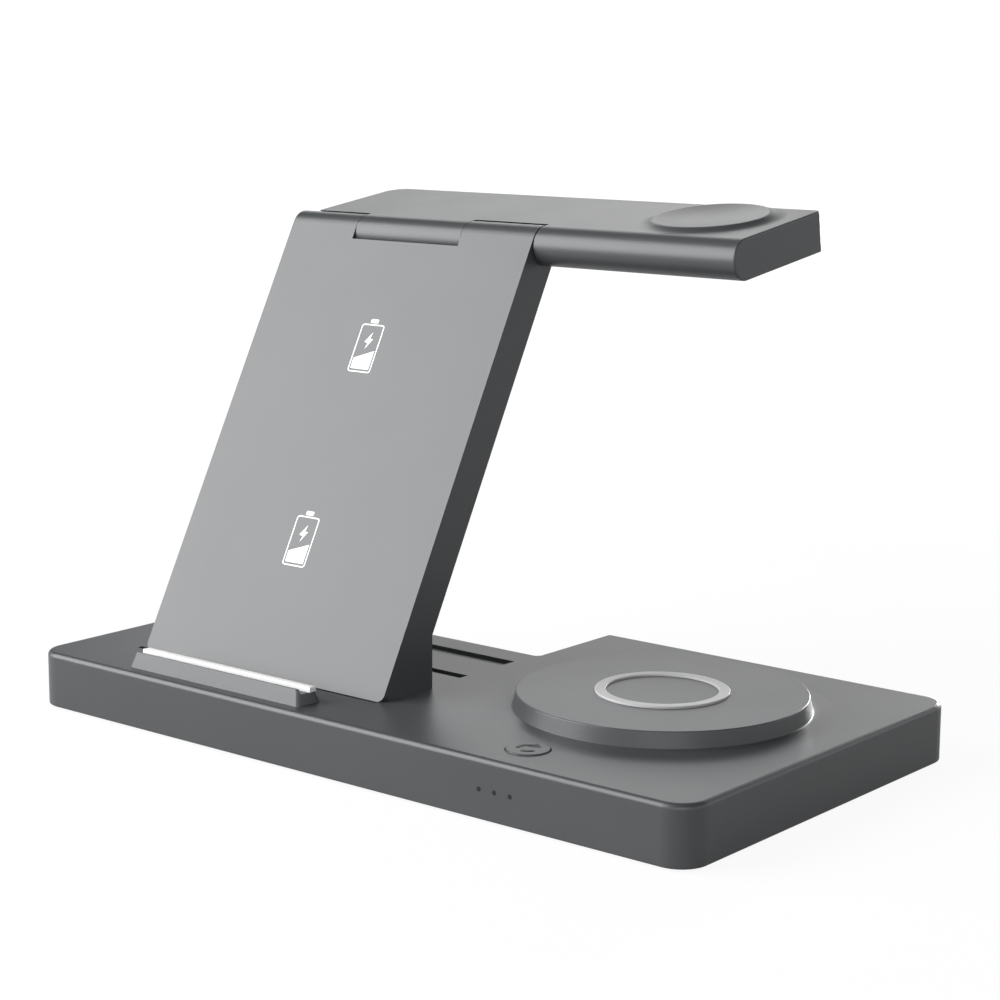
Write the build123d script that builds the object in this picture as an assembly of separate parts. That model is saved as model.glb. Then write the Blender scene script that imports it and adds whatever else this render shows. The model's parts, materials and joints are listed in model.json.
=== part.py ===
from build123d import *
import os
from math import cos, radians, sin, tan

# A desk charger for a phone, a watch and a pair of earbuds: a low L-shaped base with a round earbud pad,
# a leaning phone stand, and a folding watch arm hinged to the top of the stand. Millimetres, +Z up.
# Plan positions are measured from the left end and the front face of the base, seen by the user.

# Base housing
base_length = 190.3
base_depth = 102.4
left_length = 94.8
left_depth = 74.0
base_height = 13.2
corner_radius = 6.5
step_radius = 0.8
top_edge = 1.2
bottom_edge = 0.5
side_wall = 1.8
top_wall = 2.2

# Base plate, feet and the screws that hold the plate
plate_thickness = 1.8
plate_gap = 0.15
foot_radius = 5.0
foot_thickness = 1.4
foot_stand = 0.6
foot_inset = 13.0
foot_edge = 0.3
boss_radius = 3.0
boss_inset = 6.6
screw_radius = 1.1
screw_head_radius = 2.1
screw_head_height = 1.2
screw_length = 6.5
screw_gap = 0.05

# Earbud pad and its grip ring
pad_from_right = 45.4
pad_y = 54.8
pad_radius = 32.3
pad_height = 4.0
pad_draft = 0.6
pad_cove = 5.6
pad_cove_height = 0.5
pad_edge = 0.25
pad_skin = 1.8
pad_cavity_radius = 28.0
ring_outer = 14.9
ring_inner = 12.4
ring_seat = 0.6
ring_proud = 0.5
ring_gap = 0.05
ring_edge = 0.25

# Charging coils and the ferrite sheets behind them
coil_thickness = 1.1
ferrite_thickness = 0.8
pad_coil_outer = 20.0
pad_coil_inner = 9.0
phone_coil_outer = 22.0
phone_coil_inner = 10.0
phone_coil_low = 32.6
phone_coil_high = 81.8
ferrite_margin = 1.5
watch_coil_outer = 11.0
watch_coil_inner = 6.2
watch_magnet_radius = 5.2
watch_magnet_thickness = 1.6

# Grooves in the top of the base, under and behind the stand
groove_left = 16.9
groove_right = 94.4
groove_depth = 0.8
front_groove_y = 17.8
front_groove_width = 1.6
middle_groove_y = 47.1
middle_groove_width = 2.8
rear_groove_y = 63.2
rear_groove_width = 4.9

# Power button, its switch, and the indicator lights below it
button_from_right = 48.1
button_y = 11.0
button_radius = 4.75
button_gap = 0.18
button_proud = 0.3
button_edge = 0.25
button_flange = 0.9
button_flange_thickness = 0.8
button_travel = 0.4
button_slack = 0.05
stem_radius = 1.6
switch_size = 6.0
switch_height = 3.4
plunger_radius = 1.7
plunger_height = 0.5
light_pitch = 4.1
light_height = 6.5
light_count = 3
light_radius = 0.5
light_gap = 0.04
light_length = 4.0
led_width = 1.6
led_depth = 1.2
led_height = 1.6

# Main board, its standoffs, and the USB-C socket at the back
board_shift = 0.15
board_width = 52.0
board_thickness = 1.6
board_front = 5.2
board_clear = 0.6
board_radius = 2.0
standoff_height = 2.0
standoff_radius = 2.6
standoff_inset = 4.0
board_screw_length = 3.4
usb_width = 8.9
usb_height = 3.2
usb_corner = 1.55
usb_depth = 7.4
usb_wall = 0.35
usb_back = 1.2
usb_gap = 0.3
usb_recess = 0.4
tongue_width = 6.7
tongue_thickness = 0.7
tongue_recess = 0.8

# Phone stand: a leaning slab with a rounded top and a foot with an upright back
stand_left = 18.8
stand_right = 95.35
stand_front = 17.9
stand_lean = 27.74
stand_thickness = 9.36
stand_height = 112.7
foot_back = 34.9
stand_corner = 1.8
stand_corner_depth = 2.0
stand_skin = 1.8
stand_side = 2.2
cavity_low = 8.6
cavity_high = 106.0
cover_thickness = 1.6
cover_rim = 1.4
cover_gap = 0.12
stand_screw_count = 3
stand_screw_pitch = 24.0
stand_screw_y = 26.2
stand_screw_length = 9.0

# Phone ledge on the base, with a pale grip strip
ledge_left = 29.1
ledge_right = 83.9
ledge_front = 3.3
ledge_lip_height = 3.6
ledge_lip = 0.4
ledge_slope = 16.5
ledge_tray = 2.5
ledge_corner = 1.0
ledge_rear_wall = 0.5
strip_front = 7.2
strip_width = 2.0
strip_height = 3.65
strip_left = 29.7
strip_right = 83.6
strip_edge = 0.4

# Watch arm and its hinge
arm_left = 22.35
arm_right = 151.1
arm_tilt = 8.5
arm_reach = 31.4
arm_left_corner = 5.0
arm_right_corner = 1.6
arm_edge = 0.4
arm_wall = 2.0
arm_skin = 1.8
arm_cover_thickness = 1.4
arm_cover_rim = 1.2
arm_cover_front = 1.2
arm_boss_radius = 2.4
arm_boss_bury = 0.8
arm_screw_head_height = 0.7
arm_screw_length = 5.6
knuckle_left = 40.3
knuckle_right = 73.6
knuckle_gap = 0.22
knuckle_clear = 0.12
knuckle_slot = 0.35
relief_back = 5.8
relief_height = 0.5
window_drop = 3.5
window_depth = 2.0
side_gap = 0.4
pin_radius = 1.5
pin_fit = 0.02
pin_run = 0.05
pin_length = 71.2
washer_inset = 0.06
washer_thickness = 0.14
watch_x = 131.3
watch_reach = 16.2
watch_radius = 13.6
watch_height = 1.0
watch_flare = 3.4
watch_rim_round = 1.2
watch_dish_radius = 13.0
watch_dish_depth = 1.0

# Heights and places that follow from the sizes above
base_bottom = foot_stand
base_top = base_bottom + base_height
ceiling = base_top - top_wall
plate_top = base_bottom + plate_thickness
barrel = stand_thickness / 2
lean_s = sin(radians(stand_lean))
lean_c = cos(radians(stand_lean))
axis_y = stand_front + stand_height * lean_s + barrel * lean_c
axis_z = base_top + stand_height * lean_c - barrel * lean_s
tilt_s = sin(radians(arm_tilt))
tilt_c = cos(radians(arm_tilt))
arm_back = axis_y + (arm_reach - arm_edge) * tilt_c + (barrel - arm_edge) * tilt_s + arm_edge
overall_depth = max(base_depth, arm_back)
pad_top = base_top + pad_height
pad_x = base_length - pad_from_right
button_x = base_length - button_from_right
board_x = (left_length + base_length) / 2 + board_shift
stand_middle = (stand_left + stand_right) / 2
stand_width = stand_right - stand_left
board_bottom = plate_top + standoff_height
board_top = board_bottom + board_thickness
board_length = base_depth - side_wall - board_clear - board_front
cove_reach = pad_radius + pad_draft + pad_cove


def at(x, y, z=0.0):
    """Place at plan position x, y: the origin is under the middle of the whole object."""
    return Pos(x - base_length / 2, y - overall_depth / 2, z)


def stand_frame(x, up=0.0, deep=0.0):
    """Place on the leaning stand: local Z runs up the slope, local Y into the slab from its front face."""
    y = stand_front + up * lean_s + deep * lean_c
    z = base_top + up * lean_c - deep * lean_s
    return at(x, y, z) * Rot(X=-stand_lean)


def arm_frame(x, reach=0.0, lift=0.0):
    """Place on the watch arm: local Y runs back from the hinge axis, local Z is square to the arm's top."""
    y = axis_y + reach * tilt_c - lift * tilt_s
    z = axis_z + reach * tilt_s + lift * tilt_c
    return at(x, y, z) * Rot(X=arm_tilt)


def block(length, depth, height, align_z=Align.MIN):
    """A plain box that stands on its place, centred in length and depth."""
    return Box(length, depth, height, align=(Align.CENTER, Align.CENTER, align_z))


def rod(radius, length):
    """A cylinder that stands on its place."""
    return Cylinder(radius, length, align=(Align.CENTER, Align.CENTER, Align.MIN))


def cross_rod(radius, x_from, x_to):
    """A cylinder along the hinge axis between two plan positions."""
    return at(x_from, axis_y, axis_z) * Rot(Y=90) * rod(radius, x_to - x_from)


def along_x(profile, x_from, x_to):
    """A profile drawn in depth and height, swept from one position along the base to another."""
    side = Plane(origin=(x_from, 0, 0), x_dir=(0, 1, 0), z_dir=(1, 0, 0))
    return extrude(side * profile, x_to - x_from)


def base_plan():
    """Outline of the base: the left part is shallower than the right, with a step at the back."""
    corners = [
        (0, 0),
        (base_length, 0),
        (base_length, base_depth),
        (left_length, base_depth),
        (left_length, left_depth),
        (0, left_depth),
    ]
    face = make_face(Polyline(*corners, close=True))
    outer = [v for v in face.vertices() if abs(v.X - left_length) >= step_radius]
    face = fillet(outer, corner_radius)
    step = [v for v in face.vertices() if abs(v.X - left_length) < step_radius]
    return fillet(step, step_radius)


def boss_places():
    """Plan positions of the screws that hold the base plate."""
    return [
        (boss_inset, boss_inset),
        (base_length - boss_inset, boss_inset),
        (base_length - boss_inset, base_depth - boss_inset),
        (left_length + boss_inset, base_depth - boss_inset),
        (boss_inset, left_depth - boss_inset),
    ]


def foot_places():
    """Plan positions of the rubber feet, inboard of the corners."""
    return [
        (foot_inset, foot_inset),
        (base_length - foot_inset, foot_inset),
        (base_length - foot_inset, base_depth - foot_inset),
        (left_length + foot_inset, base_depth - foot_inset),
        (foot_inset, left_depth - foot_inset),
    ]


def light_places():
    """Positions along the front face of the indicator lights, under the button."""
    first = button_x - light_pitch * (light_count - 1) / 2
    return [first + light_pitch * i for i in range(light_count)]


def stand_screw_places():
    """Positions along the stand of the screws in its foot."""
    first = stand_middle - stand_screw_pitch * (stand_screw_count - 1) / 2
    return [first + stand_screw_pitch * i for i in range(stand_screw_count)]


def pad_disc():
    """The raised earbud disc: a wall with a little draft that runs out into a long shallow cove."""
    with BuildPart() as disc:
        with BuildSketch(Plane.XZ):
            with BuildLine():
                foot = (cove_reach, 0)
                wall_foot = (pad_radius + pad_draft, pad_cove_height)
                rim_low = (pad_radius, pad_height - pad_edge)
                rim_top = (pad_radius - pad_edge, pad_height)
                Polyline((0, pad_height), (0, -top_wall / 2), (cove_reach, -top_wall / 2), foot)
                middle = (cove_reach, pad_cove_height)
                EllipticalCenterArc(middle, pad_cove, pad_cove_height, start_angle=180, arc_size=90)
                Line(wall_foot, rim_low)
                TangentArc(rim_low, rim_top, tangent=(-pad_draft, rim_low[1] - pad_cove_height))
                Line(rim_top, (0, pad_height))
            make_face()
        revolve(axis=Axis.Z)
    return disc.part


def make_base_shell():
    """Moulded upper housing: walls, top, earbud disc, grooves, screw bosses and the holes in its walls."""
    plan = base_plan()
    shell = extrude(plan, base_height)
    shell = fillet(shell.edges().group_by(Axis.Z)[-1], top_edge)
    shell = fillet(shell.edges().group_by(Axis.Z)[0], bottom_edge)
    hollow = extrude(offset(plan, -side_wall, kind=Kind.INTERSECTION), base_height - top_wall)
    shell = at(0, 0, base_bottom) * (shell - hollow)
    shell += at(pad_x, pad_y, base_top) * pad_disc()
    shell -= at(pad_x, pad_y, ceiling) * rod(pad_cavity_radius, top_wall + pad_height - pad_skin)
    seat = rod(ring_outer + ring_gap, ring_seat) - rod(ring_inner - ring_gap, ring_seat)
    shell -= at(pad_x, pad_y, pad_top - ring_seat) * seat
    for x, y in boss_places():
        shell += at(x, y, plate_top) * rod(boss_radius, ceiling - plate_top)
        shell -= at(x, y, base_bottom) * rod(screw_radius + screw_gap, screw_length + screw_gap)
    grooves = [
        (front_groove_y, front_groove_width),
        (middle_groove_y, middle_groove_width),
        (rear_groove_y, rear_groove_width),
    ]
    groove_length = groove_right - groove_left
    for y, width in grooves:
        groove = block(groove_length, width, groove_depth)
        shell -= at((groove_left + groove_right) / 2, y, base_top - groove_depth) * groove
    shell -= at(button_x, button_y, ceiling) * rod(button_radius + button_gap, top_wall)
    for x in light_places():
        hole = Rot(X=-90) * rod(light_radius + light_gap, side_wall)
        shell -= at(x, 0, base_bottom + light_height) * hole
    for x in stand_screw_places():
        shell -= at(x, stand_screw_y, ceiling) * rod(screw_radius + screw_gap, top_wall)
    mouth = RectangleRounded(usb_width + 2 * usb_gap, usb_height + 2 * usb_gap, usb_corner + usb_gap)
    mouth = extrude(Plane.XZ * mouth, -side_wall)
    shell -= at(board_x, base_depth - side_wall, board_top + usb_height / 2) * mouth
    return shell


def make_base_plate():
    """Flat cover that closes the base from below, with foot pockets, screw holes and board standoffs."""
    inset = side_wall + plate_gap
    outline = offset(base_plan(), -inset, kind=Kind.INTERSECTION)
    plate = at(0, 0, base_bottom) * extrude(outline, plate_thickness)
    for x, y in foot_places():
        pocket = rod(foot_radius + plate_gap, foot_thickness - foot_stand)
        plate -= at(x, y, base_bottom) * pocket
    for x, y in boss_places():
        plate -= at(x, y, base_bottom) * rod(screw_radius + screw_gap, plate_thickness)
        plate -= at(x, y, base_bottom) * rod(screw_head_radius + screw_gap, screw_head_height)
    for x, y in board_holes():
        plate += at(x, y, plate_top) * rod(standoff_radius, standoff_height)
        plate -= at(x, y, board_top - board_screw_length) * rod(screw_radius + screw_gap, board_screw_length)
    return plate


def make_rubber_feet():
    """Round feet, each in its pocket of the plate and standing proud below it."""
    foot = fillet(rod(foot_radius, foot_thickness).edges().group_by(Axis.Z)[0], foot_edge)
    return Compound([at(x, y) * foot for x, y in foot_places()])


def screw(length):
    """A screw with a flat head below and its shank upwards, from its head's underside at the place."""
    return rod(screw_head_radius, screw_head_height) + rod(screw_radius, length)


def make_base_screws():
    """The screws through the plate into the bosses of the housing."""
    return Compound([at(x, y, base_bottom) * screw(screw_length) for x, y in boss_places()])


def make_pad_ring():
    """Grip ring let into the earbud disc and standing a little proud of it."""
    height = ring_seat + ring_proud
    ring = rod(ring_outer, height) - rod(ring_inner, height)
    ring = fillet(ring.edges().group_by(Axis.Z)[-1], ring_edge)
    return at(pad_x, pad_y, pad_top - ring_seat) * ring


def coil(outer, inner):
    """A flat wound coil as one ring."""
    return rod(outer, coil_thickness) - rod(inner, coil_thickness)


def make_pad_coil():
    """Charging coil under the skin of the earbud disc."""
    top = pad_top - pad_skin
    return at(pad_x, pad_y, top - coil_thickness) * coil(pad_coil_outer, pad_coil_inner)


def make_pad_ferrite():
    """Ferrite sheet under the earbud coil."""
    top = pad_top - pad_skin - coil_thickness
    return at(pad_x, pad_y, top - ferrite_thickness) * rod(pad_coil_outer + ferrite_margin, ferrite_thickness)


def board_holes():
    """Plan positions of the standoffs and screws at the corners of the main board."""
    half = board_width / 2 - standoff_inset
    rows = [board_front + standoff_inset, board_front + board_length - standoff_inset]
    return [(board_x + side * half, y) for y in rows for side in (-1, 1)]


def make_main_board():
    """Circuit board on the standoffs, from the indicator lights to the socket at the back."""
    outline = RectangleRounded(board_width, board_length, board_radius)
    board = at(board_x, board_front + board_length / 2, board_bottom) * extrude(outline, board_thickness)
    for x, y in board_holes():
        board -= at(x, y, board_bottom) * rod(screw_radius + screw_gap, board_thickness)
    return board


def make_board_screws():
    """The screws that hold the board down on its standoffs."""
    head = rod(screw_head_radius, screw_head_height)
    shank = Pos(0, 0, -board_screw_length) * rod(screw_radius, board_screw_length)
    return Compound([at(x, y, board_top) * (head + shank) for x, y in board_holes()])


def make_usb_socket():
    """USB-C socket: a rounded metal sleeve with a closed back and a contact tongue."""
    outer = RectangleRounded(usb_width, usb_height, usb_corner)
    inner = offset(outer, -usb_wall)
    sleeve = extrude(Plane.XZ * outer, usb_depth)
    sleeve -= extrude(Plane.XZ * inner, usb_depth - usb_back)
    tongue_length = usb_depth - usb_back - tongue_recess
    tongue = block(tongue_width, tongue_length, tongue_thickness, Align.CENTER)
    tongue = Pos(0, tongue_length / 2 + usb_back - usb_depth, 0) * tongue
    return at(board_x, base_depth - usb_recess, board_top + usb_height / 2) * (sleeve + tongue)


def make_button_switch():
    """Tactile switch on the board, under the stem of the button."""
    body = block(switch_size, switch_size, switch_height)
    plunger = Pos(0, 0, switch_height) * rod(plunger_radius, plunger_height)
    return at(button_x, button_y, board_top) * (body + plunger)


def make_power_button():
    """Round push button in its hole, kept in by a flange under the top of the base."""
    cap_top = base_top + button_proud
    flange_top = ceiling - button_slack
    stem_foot = board_top + switch_height + plunger_height + button_travel + button_slack
    cap = rod(button_radius, cap_top - flange_top)
    cap = fillet(cap.edges().group_by(Axis.Z)[-1], button_edge)
    button = at(button_x, button_y, flange_top) * cap
    flange = rod(button_radius + button_flange, button_flange_thickness)
    button += at(button_x, button_y, flange_top - button_flange_thickness) * flange
    if stem_foot < flange_top:
        button += at(button_x, button_y, stem_foot) * rod(stem_radius, flange_top - stem_foot)
    return button


def make_indicator_pipes():
    """Small light pipes in the front wall, one for each indicator light."""
    pipe = Rot(X=-90) * rod(light_radius, light_length)
    return Compound([at(x, 0, base_bottom + light_height) * pipe for x in light_places()])


def make_indicator_leds():
    """Chip lights at the front edge of the board, behind the light pipes."""
    chip = block(led_width, led_depth, base_bottom + light_height + led_height / 2 - board_top)
    y = max(light_length, board_front) + led_depth / 2
    return Compound([at(x, y, board_top) * chip for x in light_places()])


def stand_profile():
    """Side view of the stand: leaning slab, round top on the hinge axis, foot with an upright back."""
    rear_foot = stand_front + stand_thickness / lean_c
    knee = base_top + (foot_back - rear_foot) / tan(radians(stand_lean))
    front_top = (axis_y - barrel * lean_c, axis_z + barrel * lean_s)
    rear_top = (axis_y + barrel * lean_c, axis_z - barrel * lean_s)
    crown = (axis_y + barrel * lean_s, axis_z + barrel * lean_c)
    with BuildSketch() as side:
        with BuildLine():
            Line((stand_front, base_top), front_top)
            ThreePointArc(front_top, crown, rear_top)
            Polyline(rear_top, (foot_back, knee), (foot_back, base_top), (stand_front, base_top))
        make_face()
    return side.sketch


def stand_cavity(depth_from, depth_to, margin):
    """Box inside the slab between two depths behind its front face, inset from its sides and ends."""
    width = stand_width - 2 * (stand_side + margin)
    length = cavity_high - cavity_low - 2 * margin
    body = block(width, depth_to - depth_from, length)
    return stand_frame(stand_middle, cavity_low + margin, (depth_from + depth_to) / 2) * body


def stand_corner_cut(x, side):
    """What the rounding of a lower front corner of the stand takes away, at a side of the panel."""
    square = block(2 * stand_corner, stand_corner_depth, 2 * stand_corner, Align.CENTER)
    centre = stand_frame(x + side * stand_corner, stand_corner, stand_corner_depth / 2)
    corner = stand_frame(x, 0, stand_corner_depth / 2) * square
    return corner - centre * Rot(X=90) * Cylinder(stand_corner, stand_corner_depth)


def make_stand_shell():
    """Moulded stand: front face, sides, foot and the two outer hinge knuckles, open at the back."""
    shell = at(0, 0) * along_x(stand_profile(), stand_left, stand_right)
    rim_depth = stand_thickness - cover_thickness
    shell -= stand_cavity(stand_skin, rim_depth, cover_rim)
    shell -= stand_cavity(rim_depth, stand_thickness, 0)
    slot_left = knuckle_left - knuckle_gap
    slot_right = knuckle_right + knuckle_gap
    shell -= cross_rod(barrel + knuckle_clear, slot_left, slot_right)
    crown = block(slot_right - slot_left, 2 * stand_thickness, 2 * barrel)
    middle = (slot_left + slot_right) / 2
    shell -= stand_frame(middle, stand_height, barrel) * crown
    window = block(slot_right - slot_left, window_depth, window_drop)
    shell -= stand_frame(middle, stand_height - window_drop, window_depth / 2) * window
    shell -= cross_rod(pin_radius + pin_fit, stand_left, stand_left + pin_length)
    for x, side in ((stand_left, 1), (stand_right, -1)):
        shell -= stand_corner_cut(x, side)
    for x in stand_screw_places():
        hole = rod(screw_radius + screw_gap, stand_screw_length - top_wall)
        shell -= at(x, stand_screw_y, base_top) * hole
    return shell


def make_stand_back_cover():
    """Flat cover let into the back of the stand."""
    return stand_cavity(stand_thickness - cover_thickness, stand_thickness, cover_gap)


def make_stand_screws():
    """The screws from inside the base up into the foot of the stand."""
    return Compound(
        [
            at(x, stand_screw_y, ceiling - screw_head_height) * screw(screw_head_height + stand_screw_length)
            for x in stand_screw_places()
        ]
    )


def make_phone_coil(up):
    """Phone charging coil, against the inside of the stand's front face."""
    place = stand_frame(stand_middle, up, stand_skin) * Rot(X=-90)
    return place * coil(phone_coil_outer, phone_coil_inner)


def make_phone_ferrite():
    """One ferrite sheet behind both phone coils."""
    low = phone_coil_low - phone_coil_outer
    high = phone_coil_high + phone_coil_outer
    sheet = block(2 * (phone_coil_outer + ferrite_margin), ferrite_thickness, high - low)
    deep = stand_skin + coil_thickness + ferrite_thickness / 2
    return stand_frame(stand_middle, low, deep) * sheet


def make_phone_ledge():
    """Low ledge in front of the stand: a lip with sloping sides and a lower tray behind it for the strip."""
    slope = tan(radians(ledge_slope))
    back = strip_front + strip_width + ledge_rear_wall + ledge_tray * slope
    width = ledge_right - ledge_left
    middle_x = (ledge_left + ledge_right) / 2
    body = extrude(Rectangle(width, back - ledge_front), ledge_lip_height, taper=ledge_slope)
    rising = [e for e in body.edges() if abs((e @ 0).Z - (e @ 1).Z) > ledge_tray]
    body = at(middle_x, (ledge_front + back) / 2, base_top) * fillet(rising, ledge_corner)
    lip_back = ledge_front + ledge_lip_height * slope + ledge_lip
    tray = block(width, back - lip_back, ledge_lip_height - ledge_tray)
    return body - at(middle_x, (lip_back + back) / 2, base_top + ledge_tray) * tray


def make_ledge_strip():
    """Pale strip on the tray of the ledge."""
    strip = block(strip_right - strip_left, strip_width, strip_height - ledge_tray)
    strip = fillet(strip.edges().group_by(Axis.Z)[-1], strip_edge)
    return at((strip_left + strip_right) / 2, strip_front + strip_width / 2, base_top + ledge_tray) * strip


def arm_section():
    """Side view of the arm: a round front edge on the hinge axis and a flat plate behind it."""
    with BuildSketch() as side:
        with BuildLine():
            ThreePointArc((0, -barrel), (-barrel, 0), (0, barrel))
            Polyline((0, barrel), (arm_reach, barrel), (arm_reach, -barrel), (0, -barrel))
        make_face()
    return side.sketch


def arm_blank():
    """The arm as one bar in its own frame: round front edge, flat plate, round corners at the back."""
    bar = along_x(arm_section(), arm_left, arm_right)
    back = bar.edges().filter_by(Axis.Z).group_by(Axis.Y)[-1].sort_by(Axis.X)
    bar = fillet(back[0], arm_left_corner)
    back = bar.edges().filter_by(Axis.Z).group_by(Axis.X)[-1]
    bar = fillet(back, arm_right_corner)
    return fillet(bar.edges().group_by(Axis.Y)[-1].filter_by(Axis.X), arm_edge)


def knuckle_relief():
    """Space behind the hinge axis, under the arm's front, that lets the arm fold down past the stand."""
    left = arm_left - side_gap
    right = stand_right + side_gap
    depth = relief_back + 2 * barrel
    relief = Pos((left + right) / 2, relief_back - depth / 2, -2 * barrel - relief_height)
    return relief * block(right - left, depth, 2 * barrel)


def watch_disc():
    """Raised watch disc: a flare at its foot, a narrow rim and a hollow top for the back of a watch."""
    with BuildPart() as disc:
        with BuildSketch(Plane.XZ):
            with BuildLine():
                foot = (watch_radius + watch_flare, 0)
                rim = (watch_radius, watch_height)
                dish_rim = (watch_dish_radius, watch_height)
                dish_floor = (0, watch_height - watch_dish_depth)
                sink = -arm_skin / 2
                Polyline(dish_floor, (0, sink), (watch_radius + watch_flare, sink), foot)
                TangentArc(foot, rim, tangent=(-1, 0))
                Line(rim, dish_rim)
                TangentArc(dish_floor, dish_rim, tangent=(1, 0))
            make_face()
        revolve(axis=Axis.Z)
        fillet(disc.edges().group_by(Axis.Z)[-1], watch_rim_round)
    flat = arm_reach - arm_edge
    length = 2 * (watch_radius + watch_flare)
    band = Pos(0, flat / 2 - watch_reach, -arm_skin / 2) * block(length, flat, watch_height + arm_skin)
    return disc.part & band


def arm_cavity(lift_from, lift_to, margin):
    """Box inside the overhanging end of the arm between two heights above its middle plane."""
    left = stand_right + side_gap + arm_wall + margin
    right = arm_right - arm_wall - margin
    front = arm_cover_front + margin
    back = arm_reach - arm_wall - margin
    body = block(right - left, back - front, lift_to - lift_from)
    return arm_frame((left + right) / 2, (front + back) / 2, lift_from) * body


def arm_screw_places():
    """Places of the arm's cover screws: distance along the base and reach behind the hinge axis."""
    inset = arm_cover_rim + arm_boss_radius - arm_boss_bury
    left = stand_right + side_gap + arm_wall + inset
    right = arm_right - arm_wall - inset
    front = arm_cover_front + inset
    back = arm_reach - arm_wall - inset
    return [(x, reach) for x in (left, right) for reach in (front, back)]


def make_arm_shell():
    """Moulded watch arm: round front edge, watch disc, middle knuckle, and a hollow end open below."""
    outer = barrel + knuckle_slot
    left = Pos(arm_left - side_gap, 0, 0) * Rot(Y=90) * rod(outer, knuckle_left - arm_left + side_gap)
    right = Pos(knuckle_right, 0, 0) * Rot(Y=90) * rod(outer, stand_right + side_gap - knuckle_right)
    knuckle = Pos(knuckle_left, 0, 0) * Rot(Y=90) * rod(barrel, knuckle_right - knuckle_left)
    arm = arm_blank() - left - right
    arm -= knuckle_relief() - knuckle
    arm += Pos(watch_x, watch_reach, barrel) * watch_disc()
    arm = arm_frame(0) * arm
    cover_lift = arm_cover_thickness - barrel
    arm -= arm_cavity(cover_lift, barrel - arm_skin, arm_cover_rim)
    arm -= arm_cavity(-barrel, cover_lift, 0)
    for x, reach in arm_screw_places():
        boss = rod(arm_boss_radius, 2 * barrel - arm_cover_thickness - arm_skin)
        arm += arm_frame(x, reach, cover_lift) * boss
        hole = rod(screw_radius + screw_gap, arm_screw_length + screw_gap)
        arm -= arm_frame(x, reach, -barrel) * hole
    arm -= cross_rod(pin_radius + pin_run, knuckle_left, knuckle_right)
    return arm


def make_arm_cover():
    """Flat cover let into the underside of the arm's hollow end, with countersunk screw holes."""
    cover = arm_cavity(-barrel, arm_cover_thickness - barrel, cover_gap)
    for x, reach in arm_screw_places():
        cover -= arm_frame(x, reach, -barrel) * rod(screw_radius + screw_gap, arm_cover_thickness)
        cover -= arm_frame(x, reach, -barrel) * rod(screw_head_radius + screw_gap, arm_screw_head_height)
    return cover


def make_arm_screws():
    """The screws up through the arm's cover into the bosses of the arm."""
    one = rod(screw_head_radius, arm_screw_head_height) + rod(screw_radius, arm_screw_length)
    return Compound([arm_frame(x, reach, -barrel) * one for x, reach in arm_screw_places()])


def make_watch_coil():
    """Watch charging coil under the skin of the arm."""
    lift = barrel - arm_skin - coil_thickness
    return arm_frame(watch_x, watch_reach, lift) * coil(watch_coil_outer, watch_coil_inner)


def make_watch_magnet():
    """Round magnet in the middle of the watch coil."""
    lift = barrel - arm_skin - watch_magnet_thickness
    return arm_frame(watch_x, watch_reach, lift) * rod(watch_magnet_radius, watch_magnet_thickness)


def make_watch_ferrite():
    """Ferrite ring under the watch coil."""
    lift = barrel - arm_skin - coil_thickness - ferrite_thickness
    sheet = rod(watch_coil_outer, ferrite_thickness) - rod(watch_coil_inner, ferrite_thickness)
    return arm_frame(watch_x, watch_reach, lift) * sheet


def make_hinge_pin():
    """Steel pin through the three knuckles."""
    return cross_rod(pin_radius, stand_left, stand_left + pin_length)


def make_friction_washers():
    """Washers on both sides of the middle knuckle that hold the arm at any angle."""
    play = (knuckle_gap - washer_thickness) / 2
    starts = [knuckle_left - knuckle_gap + play, knuckle_right + play]
    washers = []
    for x in starts:
        washer = cross_rod(barrel - washer_inset, x, x + washer_thickness)
        washers.append(washer - cross_rod(pin_radius + pin_run, x, x + washer_thickness))
    return Compound(washers)


pieces = {
    "base_shell": make_base_shell(),
    "base_plate": make_base_plate(),
    "rubber_feet": make_rubber_feet(),
    "base_screws": make_base_screws(),
    "pad_ring": make_pad_ring(),
    "pad_coil": make_pad_coil(),
    "pad_ferrite": make_pad_ferrite(),
    "main_board": make_main_board(),
    "board_screws": make_board_screws(),
    "usb_socket": make_usb_socket(),
    "power_button": make_power_button(),
    "button_switch": make_button_switch(),
    "indicator_pipes": make_indicator_pipes(),
    "indicator_leds": make_indicator_leds(),
    "phone_ledge": make_phone_ledge(),
    "ledge_strip": make_ledge_strip(),
    "stand_shell": make_stand_shell(),
    "stand_back_cover": make_stand_back_cover(),
    "phone_coil_upper": make_phone_coil(phone_coil_high),
    "phone_coil_lower": make_phone_coil(phone_coil_low),
    "phone_ferrite": make_phone_ferrite(),
    "stand_screws": make_stand_screws(),
    "arm_shell": make_arm_shell(),
    "arm_cover": make_arm_cover(),
    "arm_screws": make_arm_screws(),
    "watch_coil": make_watch_coil(),
    "watch_magnet": make_watch_magnet(),
    "watch_ferrite": make_watch_ferrite(),
    "hinge_pin": make_hinge_pin(),
    "friction_washers": make_friction_washers(),
}

os.makedirs("parts", exist_ok=True)
for name, solid in pieces.items():
    export_step(solid, f"parts/{name}.step")
print("hinge axis at", round(axis_y - overall_depth / 2, 3), round(axis_z, 3))
print("overall depth", round(overall_depth, 3))
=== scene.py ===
# %% [markdown]
# # A desk charger for a phone, a watch and a pair of earbuds
# The solid pieces come from the CAD frame at their real size and place. Blender gives them their
# finish: satin moulded plastic, a pale grip ring, a white strip and small printed marks. This first
# cell loads the frame.

import json
from math import atan2, cos, degrees, pi, radians, sin

import bmesh
import bpy
from mathutils import Matrix, Vector


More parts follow.
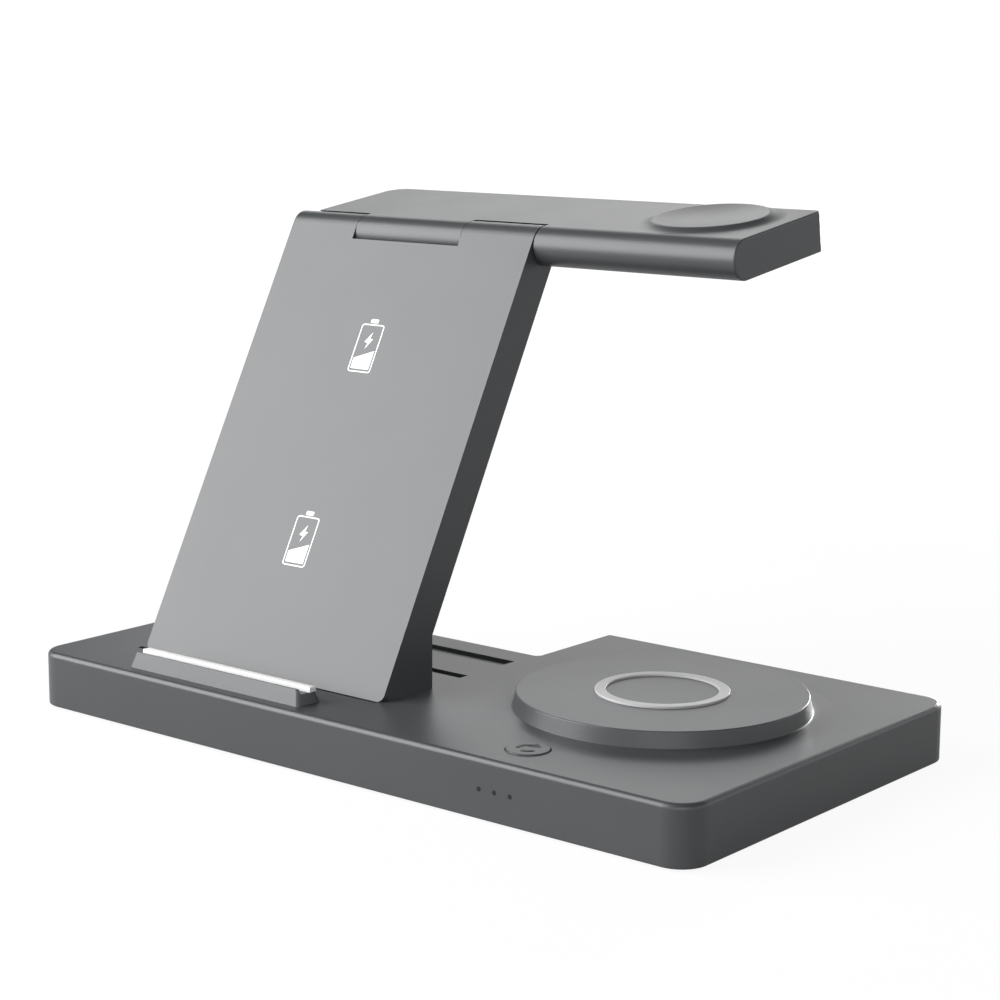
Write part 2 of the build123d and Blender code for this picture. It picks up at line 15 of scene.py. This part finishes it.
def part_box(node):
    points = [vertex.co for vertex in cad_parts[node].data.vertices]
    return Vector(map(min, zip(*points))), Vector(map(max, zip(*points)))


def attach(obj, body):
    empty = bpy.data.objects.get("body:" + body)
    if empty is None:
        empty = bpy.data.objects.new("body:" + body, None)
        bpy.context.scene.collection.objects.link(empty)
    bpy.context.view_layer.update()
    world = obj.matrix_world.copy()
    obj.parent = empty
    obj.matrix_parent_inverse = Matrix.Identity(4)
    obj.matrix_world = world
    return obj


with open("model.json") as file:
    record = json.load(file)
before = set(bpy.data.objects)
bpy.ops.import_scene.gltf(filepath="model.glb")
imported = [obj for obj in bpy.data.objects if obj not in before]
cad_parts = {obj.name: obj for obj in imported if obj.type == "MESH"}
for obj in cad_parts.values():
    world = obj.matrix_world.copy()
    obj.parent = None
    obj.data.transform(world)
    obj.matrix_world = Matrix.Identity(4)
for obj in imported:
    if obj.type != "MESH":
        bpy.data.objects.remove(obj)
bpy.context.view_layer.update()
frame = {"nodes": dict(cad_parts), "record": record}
nodes = frame["nodes"]
mounts = {mount["name"]: mount for mount in frame["record"]["mounts"]}
scene = bpy.context.scene
scene.view_settings.view_transform = "Standard"
MM = 0.001

# %% [markdown]
# ## The camera
# The picture's camera stands to the right of the charger and looks down on it a little. Its place,
# turn and lens were solved from the straight edges of the object, so the view needs no shift. A long
# lens keeps the edges of the panel nearly parallel, as they are in the picture.

# %% Camera
camera_place = Vector((341.72, -412.67, 154.57)) * MM
camera_azimuth = radians(39.23)
camera_elevation = radians(10.58)
camera_roll = radians(0.35)
lens_pixels = 2379.58
image_pixels = 1000
sensor_mm = 36.0
camera_reach = 100.0

camera_data = bpy.data.cameras.new("photo_camera")
camera_data.sensor_width = sensor_mm
camera_data.lens = lens_pixels / image_pixels * sensor_mm
camera_data.clip_end = camera_reach
camera = bpy.data.objects.new("photo_camera", camera_data)
scene.collection.objects.link(camera)
turn = Matrix.Rotation(camera_azimuth, 4, "Z") @ Matrix.Rotation(pi / 2 - camera_elevation, 4, "X")
turn = turn @ Matrix.Rotation(camera_roll, 4, "Z")
camera.matrix_world = Matrix.Translation(camera_place) @ turn
scene.camera = camera
print("lens", round(camera_data.lens, 2), "mm")

# %% [markdown]
# ## Colours and nodes
# Colours are written as the hex values a painter's chart would give and turned into the linear light
# that the renderer works in. One helper adds a node, sets its values and joins its inputs, so that a
# material reads as a short list.


# %% Helpers for materials
def linear(hex_colour, gain=1.0):
    """A hex colour as linear red, green, blue and full opacity, made lighter or darker by a gain."""
    parts = [int(hex_colour[i : i + 2], 16) / 255 for i in (1, 3, 5)]
    light = [p / 12.92 if p <= 0.04045 else ((p + 0.055) / 1.055) ** 2.4 for p in parts]
    return (*(gain * level for level in light), 1.0)


def add_node(tree, kind, settings=None, values=None, links=None):
    """One node with its settings, its input values and the sockets that feed its inputs."""
    node = tree.nodes.new(kind)
    for name, value in (settings or {}).items():
        setattr(node, name, value)
    for name, value in (values or {}).items():
        node.inputs[name].default_value = value
    for name, socket in (links or {}).items():
        tree.links.new(socket, node.inputs[name])
    return node


def new_material(name):
    """An empty node material and its tree."""
    material = bpy.data.materials.new(name)
    material.use_nodes = True
    material.node_tree.nodes.clear()
    return material, material.node_tree


# %% [markdown]
# ## One recipe for moulded, pressed and printed surfaces
# The housing is injection-moulded ABS. Its mould was spark-eroded, which leaves a fine even grain: it
# breaks the reflection up, so that edges glint softly and flat faces change tone with their tilt.
# Rubber, ferrite, silicone and ink differ from it in colour, gloss and the size of their grain, so all
# are made by one recipe. A fine noise gives the height of the grain. A second, broad one clouds the
# colour and the gloss by one part in a hundred, as handling does, so that no face is one flat tone.
# The real grain is about a tenth of a millimetre; anything finer than 0.3 mm is lost between the
# pixels, so it is drawn at that size.

# %% Grained surfaces
cloud_mm = 14.0
cloud_share = 0.01
noise_low, noise_high = 0.3, 0.7
grain_strength = 0.3
housing_grey = "#424446"
housing_roughness = 0.36


def grained(name, hex_colour, roughness, grain_mm=0.3, depth_mm=0.004, metallic=0.0, ior=1.5):
    """A surface with a fine grain in its height and faint clouds in its colour and gloss."""
    material, tree = new_material(name)
    place = add_node(tree, "ShaderNodeTexCoord")
    here = {"Vector": place.outputs["Object"]}
    grain = add_node(tree, "ShaderNodeTexNoise", values={"Scale": 1 / (grain_mm * MM)}, links=here)
    clouds = add_node(tree, "ShaderNodeTexNoise", values={"Scale": 1 / (cloud_mm * MM)}, links=here)
    spread = {"From Min": noise_low, "From Max": noise_high}
    share = add_node(tree, "ShaderNodeMapRange", values=spread, links={"Value": clouds.outputs["Fac"]})
    gloss = add_node(
        tree,
        "ShaderNodeMapRange",
        values=spread | {"To Min": roughness - cloud_share, "To Max": roughness + cloud_share},
        links={"Value": clouds.outputs["Fac"]},
    )
    colour = add_node(
        tree,
        "ShaderNodeMix",
        {"data_type": "RGBA"},
        {6: linear(hex_colour, 1 - cloud_share), 7: linear(hex_colour, 1 + cloud_share)},
        {0: share.outputs["Result"]},
    )
    bump = add_node(
        tree,
        "ShaderNodeBump",
        values={"Strength": grain_strength, "Distance": depth_mm * MM},
        links={"Height": grain.outputs["Fac"]},
    )
    shader = add_node(
        tree,
        "ShaderNodeBsdfPrincipled",
        values={"Metallic": metallic, "IOR": ior},
        links={
            "Base Color": colour.outputs[2],
            "Roughness": gloss.outputs["Result"],
            "Normal": bump.outputs["Normal"],
        },
    )
    add_node(tree, "ShaderNodeOutputMaterial", links={"Surface": shader.outputs["BSDF"]})
    return material


housing = grained("satin_abs_grey", housing_grey, housing_roughness)
print("housing finish:", housing.name)

# %% [markdown]
# ## The other finishes
# The grip ring is silicone, paler and duller than the housing. The strip behind the ledge is white
# moulded acrylic. The hinge's washers end flush with the barrel and are painted like it. The rest is
# what lies inside or underneath: black rubber feet, zinc-plated steel screws, enamelled copper coils,
# dull black ferrite and a green board. The metals are tumbled or drawn, which leaves a finer, shallower
# grain than a mould does.

# %% Finishes of all the pieces
silicone = grained("silicone_pale_grey", "#B8B8B9", 0.55)
acrylic = grained("white_acrylic", "#F8F8F8", 0.2, depth_mm=0.001, ior=1.49)
foot_rubber = grained("black_rubber", "#1E1E1F", 0.8, grain_mm=0.5, depth_mm=0.02, ior=1.52)
steel = grained("zinc_plated_steel", "#B9BBBD", 0.3, depth_mm=0.002, metallic=1.0)
painted_steel = grained("painted_steel_grey", housing_grey, housing_roughness, depth_mm=0.002)
copper = grained("enamelled_copper", "#B5673B", 0.3, depth_mm=0.01, metallic=1.0)
ferrite = grained("pressed_ferrite", "#2A2A2B", 0.7, grain_mm=0.4, depth_mm=0.02)
board = grained("green_circuit_board", "#1E5A34", 0.35)
black_nylon = grained("black_nylon", "#232324", 0.5, ior=1.53)
smoked_acrylic = grained("smoked_acrylic", "#1C1D1E", 0.15, depth_mm=0.001, ior=1.49)
lamp_epoxy = grained("lamp_epoxy", "#E8E4D6", 0.2, ior=1.55)

shells = ["base_shell", "base_plate", "stand_shell", "stand_back_cover", "arm_shell", "arm_cover"]
screws = ["base_screws", "board_screws", "stand_screws", "arm_screws"]
finishes = {
    housing: [*shells, "phone_ledge", "power_button"],
    silicone: ["pad_ring"],
    acrylic: ["ledge_strip"],
    foot_rubber: ["rubber_feet"],
    steel: [*screws, "hinge_pin", "usb_socket", "watch_magnet"],
    painted_steel: ["friction_washers"],
    copper: ["pad_coil", "phone_coil_upper", "phone_coil_lower", "watch_coil"],
    ferrite: ["pad_ferrite", "phone_ferrite", "watch_ferrite"],
    board: ["main_board"],
    black_nylon: ["button_switch"],
    smoked_acrylic: ["indicator_pipes"],
    lamp_epoxy: ["indicator_leds"],
}
for material, names in finishes.items():
    for name in names:
        nodes[name].data.materials.clear()
        nodes[name].data.materials.append(material)
print("finished nodes:", sum(len(names) for names in finishes.values()), "of", len(nodes))

# %% [markdown]
# ## Printed marks
# A charger tells where a phone goes by a printed battery. Ink from a printing pad is only a few
# hundredths of a millimetre thick, but it is a real layer, so each mark is a thin plate laid on the
# face that carries it. A plate starts as a plane, is shaped in edit mode, and gets its thickness from
# a Solidify modifier. It reaches a little below the face, so that no gap shows at its edge.

# %% Helpers for printed marks
ink_thickness = 0.06 * MM
ink_stand = 0.03 * MM


def start_edit():
    """Edit mode on the active object with everything selected."""
    bpy.ops.object.mode_set(mode="EDIT")
    bpy.ops.mesh.select_all(action="SELECT")


def pick(test):
    """Selects the vertices of the object in edit mode whose place passes a test, and no others."""
    mesh = bmesh.from_edit_mesh(bpy.context.object.data)
    for vertex in mesh.verts:
        vertex.select_set(test(vertex.co))
    mesh.select_flush(False)
    mesh.select_flush(True)
    bmesh.update_edit_mesh(bpy.context.object.data)


def plate(x, y, width, height):
    """A flat rectangle in the mark's own plane, with its middle at x, y, given in millimetres."""
    bpy.ops.object.select_all(action="DESELECT")
    bpy.ops.mesh.primitive_plane_add(size=MM, location=(x * MM, y * MM, 0))
    bpy.context.object.scale = (width, height, 1)
    bpy.ops.object.transform_apply(location=True, scale=True)
    return bpy.context.object


def make_ink(name, shapes, material):
    """Joins flat shapes to one mark and gives it the thickness of a layer of ink."""
    bpy.ops.object.select_all(action="DESELECT")
    for shape in shapes:
        shape.select_set(True)
    mark = shapes[0]
    bpy.context.view_layer.objects.active = mark
    bpy.ops.object.join()
    layer = mark.modifiers.new("ink", "SOLIDIFY")
    layer.thickness = ink_thickness
    bpy.ops.object.modifier_apply(modifier=layer.name)
    mark.name = name
    mark.data.name = name
    mark.data.materials.append(material)
    return mark


def lay_on(mark, place):
    """Puts a mark on its face and leaves its object at the origin, with the place in its mesh."""
    mark.matrix_world = place @ Matrix.Translation((0, 0, ink_stand))
    bpy.ops.object.select_all(action="DESELECT")
    mark.select_set(True)
    bpy.context.view_layer.objects.active = mark
    bpy.ops.object.transform_apply(location=True, rotation=True, scale=True)
    return mark


white_ink = grained("white_pad_print_ink", "#F4F5F5", 0.5, depth_mm=0.002)
dark_ink = grained("dark_pad_print_ink", "#202123", 0.5, depth_mm=0.002)

# %% [markdown]
# ## The battery
# The body is a plane with its corners rounded by a vertex bevel; an inset leaves a frame of one stroke
# when the inner face is deleted. The cap is a small plate above it. The filling is a plate whose upper
# right corner is lifted, like liquid in a tilted glass. The bolt starts as a six-sided disc, and its
# corners are moved to the corners of a lightning flash.

# %% One battery, in millimetres from the middle of its lower edge
battery_width = 7.2
battery_height = 12.3
battery_corner = 0.8
battery_stroke = 0.32
corner_steps = 5
cap_width = 2.45
cap_height = 1.0
cap_gap = 0.3
cap_corner = 0.25
cap_steps = 3
fill_width = 5.7
fill_foot = 0.83
fill_left = 3.5
fill_right = 5.65
fill_middle = (fill_foot + fill_left) / 2
bolt_corners = [(0.62, 10.33), (-1.17, 7.70), (-0.03, 7.44), (-0.49, 5.85), (1.26, 8.58), (0.35, 8.60)]

body = plate(0, battery_height / 2, battery_width, battery_height)
start_edit()
bpy.ops.mesh.bevel(offset=battery_corner * MM, segments=corner_steps, affect="VERTICES")
bpy.ops.mesh.inset(thickness=battery_stroke * MM, use_even_offset=True)
bpy.ops.mesh.delete(type="FACE")
bpy.ops.object.mode_set(mode="OBJECT")

cap = plate(0, battery_height + cap_gap + cap_height / 2, cap_width, cap_height)
start_edit()
bpy.ops.mesh.bevel(offset=cap_corner * MM, segments=cap_steps, affect="VERTICES")
bpy.ops.object.mode_set(mode="OBJECT")

filling = plate(0, fill_middle, fill_width, fill_left - fill_foot)
start_edit()
pick(lambda co: co.x > 0 and co.y > fill_middle * MM)
bpy.ops.transform.translate(value=(0, (fill_right - fill_left) * MM, 0))
bpy.ops.object.mode_set(mode="OBJECT")
print("battery outline:", len(body.data.polygons), "face with", len(body.data.vertices), "corners")

# %% The bolt
same_place = 1e-7
bpy.ops.object.select_all(action="DESELECT")
bpy.ops.mesh.primitive_circle_add(vertices=len(bolt_corners), radius=MM, fill_type="NGON")
bolt = bpy.context.object
for index, (x, y) in enumerate(bolt_corners):
    start = bolt.data.vertices[index].co.copy()
    start_edit()
    pick(lambda co: (co - start).length < same_place)
    bpy.ops.transform.translate(value=Vector((x * MM, y * MM, 0)) - start)
    bpy.ops.object.mode_set(mode="OBJECT")
print("bolt corners:", [tuple(round(c / MM, 2) for c in v.co.xy) for v in bolt.data.vertices])

# %% [markdown]
# The finished battery is copied for the second place a phone can lie. The panel's own mount gives the
# middle of the face and the direction it looks in, so both marks lie on it whatever its lean is.

# %% Two batteries on the panel
panel_middle = Vector(mounts["phone_face"]["pos_m"])
panel_out = Vector(mounts["phone_face"]["axis"])
panel_right = Vector((1, 0, 0))
panel_up = panel_out.cross(panel_right)
panel_axes = Matrix((panel_right, panel_up, panel_out)).transposed().to_4x4()
battery_aside = -0.775
battery_feet = {"battery_mark_upper": 19.07, "battery_mark_lower": -29.85}

upper = make_ink("battery_mark_upper", [body, cap, filling, bolt], white_ink)
lower = upper.copy()
lower.data = upper.data.copy()
lower.name = lower.data.name = "battery_mark_lower"
scene.collection.objects.link(lower)
for mark in (upper, lower):
    foot = panel_middle + (panel_right * battery_aside + panel_up * battery_feet[mark.name]) * MM
    lay_on(mark, Matrix.Translation(foot) @ panel_axes)
    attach(mark, "base")
print("marks on the panel:", upper.name, lower.name)

# %% [markdown]
# ## The mark on the button
# Two bent lines run round in a circle and one ends in an arrow head. A circle of edges loses the
# stretches between the lines; the rest is extruded and scaled outwards to the width of the stroke.

# %% Button mark
glyph_inner = 1.75
glyph_stroke = 0.85
glyph_lines = [(91, 212), (268, 344)]
glyph_head = 1.75
glyph_points = 72
head_lead = 8


def on_line(co):
    """Whether a point lies at an angle that one of the lines covers."""
    angle = degrees(atan2(co.y, co.x)) % 360
    return any(low <= angle <= high for low, high in glyph_lines)


bpy.ops.object.select_all(action="DESELECT")
bpy.ops.mesh.primitive_circle_add(vertices=glyph_points, radius=glyph_inner * MM)
ring = bpy.context.object
start_edit()
pick(lambda co: not on_line(co))
bpy.ops.mesh.delete(type="VERT")
bpy.ops.mesh.select_all(action="SELECT")
bpy.ops.mesh.extrude_edges_move()
wider = 1 + glyph_stroke / glyph_inner
bpy.ops.transform.resize(value=(wider, wider, 1), center_override=(0, 0, 0))
bpy.ops.mesh.select_all(action="SELECT")
bpy.ops.mesh.normals_make_consistent(inside=False)
bpy.ops.object.mode_set(mode="OBJECT")

head_angle = radians(glyph_lines[0][0] - head_lead)
head_middle = Vector((cos(head_angle), sin(head_angle), 0)) * (glyph_inner + glyph_stroke / 2) * MM
bpy.ops.object.select_all(action="DESELECT")
bpy.ops.mesh.primitive_circle_add(
    vertices=3,
    radius=glyph_head * MM,
    fill_type="NGON",
    location=head_middle,
)
head = bpy.context.object
head.rotation_euler.z = head_angle - pi
bpy.ops.object.transform_apply(location=True, rotation=True)

button_low, button_high = (Vector(corner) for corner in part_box("power_button"))
button_middle = (button_low + button_high) / 2
button_face = Matrix.Translation((button_middle.x, button_middle.y, button_high.z))
glyph = lay_on(make_ink("button_mark", [ring, head], dark_ink), button_face)
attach(glyph, "button")
print("button mark at", [round(c / MM, 2) for c in button_face.translation])

# %% [markdown]
# ## Floor, surroundings and light
# The charger stands on a white table before a white wall. Seen by the camera, the floor is mostly plain
# white and still takes the charger's soft shadow; away from the charger it fades to the white of the
# wall, so no horizon shows. In a reflection it counts for less, because a real table is a little grey.

# %% Floor
floor_size = 40.0
shadow_near = 0.25
shadow_far = 0.9
white_near = 0.86
table_white = 1.08
table_mirrored = 0.4
table_grey = "#B8B8B8"
plain_white = (1, 1, 1, 1)

bpy.ops.object.select_all(action="DESELECT")
bpy.ops.mesh.primitive_plane_add(size=floor_size, location=(0, 0, 0))
floor = bpy.context.object
floor.name = "floor"


def seen_directly(tree, mirrored):
    """One for rays from the camera, a share for those in reflections or glass, nought for stray light."""
    path = add_node(tree, "ShaderNodeLightPath")
    total = path.outputs["Is Camera Ray"]
    for kind in ("Is Glossy Ray", "Is Transmission Ray"):
        total = add_node(
            tree,
            "ShaderNodeMath",
            {"operation": "MULTIPLY_ADD", "use_clamp": True},
            {1: mirrored},
            {0: path.outputs[kind], 2: total},
        ).outputs[0]
    return total


floor_paint, tree = new_material("white_table")
place = add_node(tree, "ShaderNodeTexCoord")
reach = add_node(
    tree,
    "ShaderNodeVectorMath",
    {"operation": "LENGTH"},
    links={0: place.outputs["Object"]},
)
fade = add_node(
    tree,
    "ShaderNodeMapRange",
    values={"From Min": shadow_near, "From Max": shadow_far, "To Min": white_near, "To Max": 1.0},
    links={"Value": reach.outputs["Value"]},
)
share = add_node(
    tree,
    "ShaderNodeMath",
    {"operation": "MULTIPLY"},
    links={0: seen_directly(tree, table_mirrored), 1: fade.outputs["Result"]},
)
diffuse = add_node(tree, "ShaderNodeBsdfDiffuse", values={"Color": linear(table_grey)})
white = add_node(tree, "ShaderNodeEmission", values={"Color": plain_white, "Strength": table_white})
mix = add_node(
    tree,
    "ShaderNodeMixShader",
    links={0: share.outputs[0], 1: diffuse.outputs[0], 2: white.outputs[0]},
)
add_node(tree, "ShaderNodeOutputMaterial", links={"Surface": mix.outputs[0]})
floor.data.materials.append(floor_paint)
print("floor", floor_size, "m wide")

# %% [markdown]
# A studio is not white all round. The wall behind the charger is, and shows as a bright sheen on all
# that faces up; the ceiling is dark, and shows as the dark line where the arm and the panel roll over.
# So the reflected surroundings fade with height, and towards the far left, where the wall ends. Straight
# behind the charger the camera sees plain white. Stray light that fills the shadows is kept low.

# %% Surroundings
wall_top = 0.40
ceiling_from = 0.58
ceiling_light = 0.05
wall_left = -0.78
wall_right = -0.45
wall_left_light = 0.27
wall_right_light = 1.38
fill_light = 0.25

world = bpy.data.worlds.new("white_room")
scene.world = world
world.use_nodes = True
tree = world.node_tree
tree.nodes.clear()
place = add_node(tree, "ShaderNodeTexCoord")
way = add_node(tree, "ShaderNodeSeparateXYZ", links={0: place.outputs["Generated"]})
wall = add_node(
    tree,
    "ShaderNodeMapRange",
    values={"From Min": wall_top, "From Max": ceiling_from, "To Min": 1.0, "To Max": ceiling_light},
    links={"Value": way.outputs["Z"]},
)
side = add_node(
    tree,
    "ShaderNodeMapRange",
    values={
        "From Min": wall_left,
        "From Max": wall_right,
        "To Min": wall_left_light,
        "To Max": wall_right_light,
    },
    links={"Value": way.outputs["X"]},
)
light = add_node(
    tree,
    "ShaderNodeMath",
    {"operation": "MULTIPLY"},
    links={0: wall.outputs["Result"], 1: side.outputs["Result"]},
)
path = add_node(tree, "ShaderNodeLightPath")
shown = add_node(
    tree,
    "ShaderNodeMath",
    {"operation": "MAXIMUM"},
    links={0: light.outputs[0], 1: path.outputs["Is Camera Ray"]},
)
stray = add_node(tree, "ShaderNodeBackground", values={"Color": plain_white, "Strength": fill_light})
backdrop = add_node(
    tree,
    "ShaderNodeBackground",
    values={"Color": plain_white},
    links={"Strength": shown.outputs[0]},
)
mix = add_node(
    tree,
    "ShaderNodeMixShader",
    links={0: seen_directly(tree, 1.0), 1: stray.outputs[0], 2: backdrop.outputs[0]},
)
add_node(tree, "ShaderNodeOutputWorld", links={"Surface": mix.outputs[0]})
print("surroundings:", world.name)

# %% [markdown]
# Four soft boxes finish the light. The key stands in front and to the left, where the leaning panel
# mirrors it to the camera. A weak one beside the camera fills the shaded fronts, and another behind and
# to the left gives the top of the arm its sheen. The last stands low behind the charger: it lights mostly
# what faces away from the camera, so that the back can be seen from the other side.


# %% Soft boxes
def soft_box(name, place, target, size, watts):
    """A square area lamp at a place, turned to face a target, that the camera does not see."""
    data = bpy.data.lights.new(name, "AREA")
    data.shape = "SQUARE"
    data.size = size
    data.energy = watts
    lamp = bpy.data.objects.new(name, data)
    scene.collection.objects.link(lamp)
    aim = Vector(target) - Vector(place)
    lamp.matrix_world = Matrix.Translation(place) @ aim.to_track_quat("-Z", "Y").to_matrix().to_4x4()
    lamp.visible_camera = False


charger_middle = (0, 0, 0.06)
arm_level = (0, 0, 0.10)
soft_box("key_soft_box", (-0.78, -0.72, 0.56), charger_middle, size=1.1, watts=26.5)
soft_box("front_soft_box", (0.72, -0.90, 0.40), charger_middle, size=0.8, watts=3.0)
soft_box("back_soft_box", (-0.88, 1.01, 0.78), arm_level, size=0.5, watts=1.35)
soft_box("rear_soft_box", (-0.20, 1.30, 0.22), charger_middle, size=0.35, watts=9.0)
